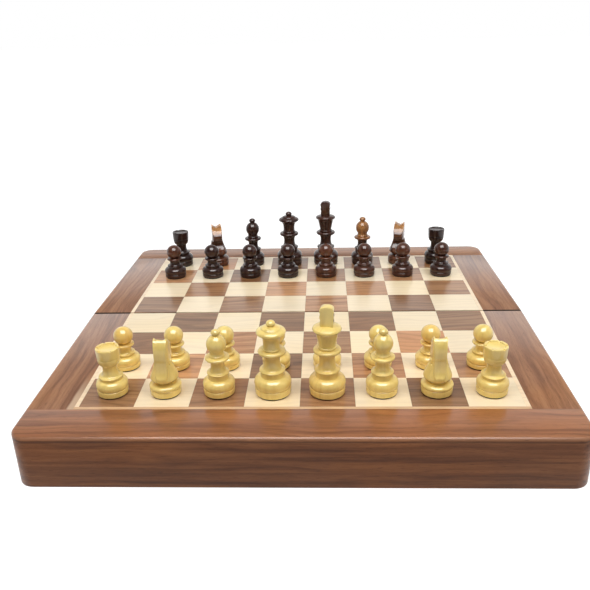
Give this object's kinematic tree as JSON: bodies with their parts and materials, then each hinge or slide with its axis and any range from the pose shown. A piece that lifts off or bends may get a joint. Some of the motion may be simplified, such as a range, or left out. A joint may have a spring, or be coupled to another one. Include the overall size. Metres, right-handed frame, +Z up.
{
  "type": "folding chess box",
  "caption": "Folding wooden chess box: two hinged hollow halves open into a chessboard with a magnetic set of men on it, and hold the men in foam pockets when folded shut.",
  "frame": {"origin": "middle of the open board, on the surface that it stands on", "axes": "+X along the ranks, to the right for the player of the light men; +Y from that player across the seam to the lid half; +Z up"},
  "size_m": [0.252, 0.253, 0.0712],
  "materials": {
    "rosewood": "lacquered satin",
    "rosewood_veneer": "lacquered satin",
    "maple_veneer": "lacquered satin",
    "plywood": "raw",
    "boxwood": "polished",
    "dark_rosewood": "polished",
    "steel": "mill",
    "magnet": "nickel plated",
    "brass": "polished",
    "flocked_foam": "flocked"
  },
  "bodies": {
    "base": {"front_rail": "rosewood", "base_left_rail": "rosewood", "base_right_rail": "rosewood", "base_hinge_rail": "rosewood", "base_deck_panel": "plywood", "base_steel_sheet": "steel", "base_dark_squares": "rosewood_veneer", "base_light_squares": "maple_veneer", "base_stringing": "maple_veneer", "base_foam_insert": "flocked_foam", "base_closing_magnets": "magnet", "base_hinge_leaves": "brass", "hinge_pins": "steel", "base_hinge_screws": "brass"},
    "lid": {"rear_rail": "rosewood", "lid_left_rail": "rosewood", "lid_right_rail": "rosewood", "lid_hinge_rail": "rosewood", "lid_deck_panel": "plywood", "lid_steel_sheet": "steel", "lid_dark_squares": "rosewood_veneer", "lid_light_squares": "maple_veneer", "lid_stringing": "maple_veneer", "lid_foam_insert": "flocked_foam", "lid_closing_magnets": "magnet", "lid_hinge_leaves": "brass", "lid_hinge_screws": "brass"},
    "white_rook_a": {"white_rook_a": "boxwood"},
    "white_knight_b": {"white_knight_b": "boxwood"},
    "white_bishop_c": {"white_bishop_c": "boxwood"},
    "white_queen": {"white_queen": "boxwood"},
    "white_king": {"white_king": "boxwood"},
    "white_bishop_f": {"white_bishop_f": "boxwood"},
    "white_knight_g": {"white_knight_g": "boxwood"},
    "white_rook_h": {"white_rook_h": "boxwood"},
    "white_pawn_a": {"white_pawn_a": "boxwood"},
    "white_pawn_b": {"white_pawn_b": "boxwood"},
    "white_pawn_c": {"white_pawn_c": "boxwood"},
    "white_pawn_d": {"white_pawn_d": "boxwood"},
    "white_pawn_e": {"white_pawn_e": "boxwood"},
    "white_pawn_f": {"white_pawn_f": "boxwood"},
    "white_pawn_g": {"white_pawn_g": "boxwood"},
    "white_pawn_h": {"white_pawn_h": "boxwood"},
    "black_rook_a": {"black_rook_a": "dark_rosewood"},
    "black_knight_b": {"black_knight_b": "dark_rosewood"},
    "black_bishop_c": {"black_bishop_c": "dark_rosewood"},
    "black_queen": {"black_queen": "dark_rosewood"},
    "black_king": {"black_king": "dark_rosewood"},
    "black_bishop_f": {"black_bishop_f": "dark_rosewood"},
    "black_knight_g": {"black_knight_g": "dark_rosewood"},
    "black_rook_h": {"black_rook_h": "dark_rosewood"},
    "black_pawn_a": {"black_pawn_a": "dark_rosewood"},
    "black_pawn_b": {"black_pawn_b": "dark_rosewood"},
    "black_pawn_c": {"black_pawn_c": "dark_rosewood"},
    "black_pawn_d": {"black_pawn_d": "dark_rosewood"},
    "black_pawn_e": {"black_pawn_e": "dark_rosewood"},
    "black_pawn_f": {"black_pawn_f": "dark_rosewood"},
    "black_pawn_g": {"black_pawn_g": "dark_rosewood"},
    "black_pawn_h": {"black_pawn_h": "dark_rosewood"}
  },
  "joints": [
    {"name": "lid_fold", "type": "hinge", "parent": "base", "child": "lid", "pos_m": [0, 0, 0.0025], "axis": [-1, 0, 0], "range_deg": [-2.37, 177.63]},
    {"name": "lift_white_rook_a", "type": "slide", "parent": "base", "child": "white_rook_a", "axis": [0, -0.0206, 0.9998], "range_m": [0, 0.06]},
    {"name": "lift_white_knight_b", "type": "slide", "parent": "base", "child": "white_knight_b", "axis": [0, -0.0206, 0.9998], "range_m": [0, 0.06]},
    {"name": "lift_white_bishop_c", "type": "slide", "parent": "base", "child": "white_bishop_c", "axis": [0, -0.0206, 0.9998], "range_m": [0, 0.06]},
    {"name": "lift_white_queen", "type": "slide", "parent": "base", "child": "white_queen", "axis": [0, -0.0206, 0.9998], "range_m": [0, 0.06]},
    {"name": "lift_white_king", "type": "slide", "parent": "base", "child": "white_king", "axis": [0, -0.0206, 0.9998], "range_m": [0, 0.06]},
    {"name": "lift_white_bishop_f", "type": "slide", "parent": "base", "child": "white_bishop_f", "axis": [0, -0.0206, 0.9998], "range_m": [0, 0.06]},
    {"name": "lift_white_knight_g", "type": "slide", "parent": "base", "child": "white_knight_g", "axis": [0, -0.0206, 0.9998], "range_m": [0, 0.06]},
    {"name": "lift_white_rook_h", "type": "slide", "parent": "base", "child": "white_rook_h", "axis": [0, -0.0206, 0.9998], "range_m": [0, 0.06]},
    {"name": "lift_white_pawn_a", "type": "slide", "parent": "base", "child": "white_pawn_a", "axis": [0, -0.0206, 0.9998], "range_m": [0, 0.06]},
    {"name": "lift_white_pawn_b", "type": "slide", "parent": "base", "child": "white_pawn_b", "axis": [0, -0.0206, 0.9998], "range_m": [0, 0.06]},
    {"name": "lift_white_pawn_c", "type": "slide", "parent": "base", "child": "white_pawn_c", "axis": [0, -0.0206, 0.9998], "range_m": [0, 0.06]},
    {"name": "lift_white_pawn_d", "type": "slide", "parent": "base", "child": "white_pawn_d", "axis": [0, -0.0206, 0.9998], "range_m": [0, 0.06]},
    {"name": "lift_white_pawn_e", "type": "slide", "parent": "base", "child": "white_pawn_e", "axis": [0, -0.0206, 0.9998], "range_m": [0, 0.06]},
    {"name": "lift_white_pawn_f", "type": "slide", "parent": "base", "child": "white_pawn_f", "axis": [0, -0.0206, 0.9998], "range_m": [0, 0.06]},
    {"name": "lift_white_pawn_g", "type": "slide", "parent": "base", "child": "white_pawn_g", "axis": [0, -0.0206, 0.9998], "range_m": [0, 0.06]},
    {"name": "lift_white_pawn_h", "type": "slide", "parent": "base", "child": "white_pawn_h", "axis": [0, -0.0206, 0.9998], "range_m": [0, 0.06]},
    {"name": "lift_black_rook_a", "type": "slide", "parent": "lid", "child": "black_rook_a", "axis": [0, 0.0206, 0.9998], "range_m": [0, 0.06]},
    {"name": "lift_black_knight_b", "type": "slide", "parent": "lid", "child": "black_knight_b", "axis": [0, 0.0206, 0.9998], "range_m": [0, 0.06]},
    {"name": "lift_black_bishop_c", "type": "slide", "parent": "lid", "child": "black_bishop_c", "axis": [0, 0.0206, 0.9998], "range_m": [0, 0.06]},
    {"name": "lift_black_queen", "type": "slide", "parent": "lid", "child": "black_queen", "axis": [0, 0.0206, 0.9998], "range_m": [0, 0.06]},
    {"name": "lift_black_king", "type": "slide", "parent": "lid", "child": "black_king", "axis": [0, 0.0206, 0.9998], "range_m": [0, 0.06]},
    {"name": "lift_black_bishop_f", "type": "slide", "parent": "lid", "child": "black_bishop_f", "axis": [0, 0.0206, 0.9998], "range_m": [0, 0.06]},
    {"name": "lift_black_knight_g", "type": "slide", "parent": "lid", "child": "black_knight_g", "axis": [0, 0.0206, 0.9998], "range_m": [0, 0.06]},
    {"name": "lift_black_rook_h", "type": "slide", "parent": "lid", "child": "black_rook_h", "axis": [0, 0.0206, 0.9998], "range_m": [0, 0.06]},
    {"name": "lift_black_pawn_a", "type": "slide", "parent": "lid", "child": "black_pawn_a", "axis": [0, 0.0206, 0.9998], "range_m": [0, 0.06]},
    {"name": "lift_black_pawn_b", "type": "slide", "parent": "lid", "child": "black_pawn_b", "axis": [0, 0.0206, 0.9998], "range_m": [0, 0.06]},
    {"name": "lift_black_pawn_c", "type": "slide", "parent": "lid", "child": "black_pawn_c", "axis": [0, 0.0206, 0.9998], "range_m": [0, 0.06]},
    {"name": "lift_black_pawn_d", "type": "slide", "parent": "lid", "child": "black_pawn_d", "axis": [0, 0.0206, 0.9998], "range_m": [0, 0.06]},
    {"name": "lift_black_pawn_e", "type": "slide", "parent": "lid", "child": "black_pawn_e", "axis": [0, 0.0206, 0.9998], "range_m": [0, 0.06]},
    {"name": "lift_black_pawn_f", "type": "slide", "parent": "lid", "child": "black_pawn_f", "axis": [0, 0.0206, 0.9998], "range_m": [0, 0.06]},
    {"name": "lift_black_pawn_g", "type": "slide", "parent": "lid", "child": "black_pawn_g", "axis": [0, 0.0206, 0.9998], "range_m": [0, 0.06]},
    {"name": "lift_black_pawn_h", "type": "slide", "parent": "lid", "child": "black_pawn_h", "axis": [0, 0.0206, 0.9998], "range_m": [0, 0.06]}
  ]
}
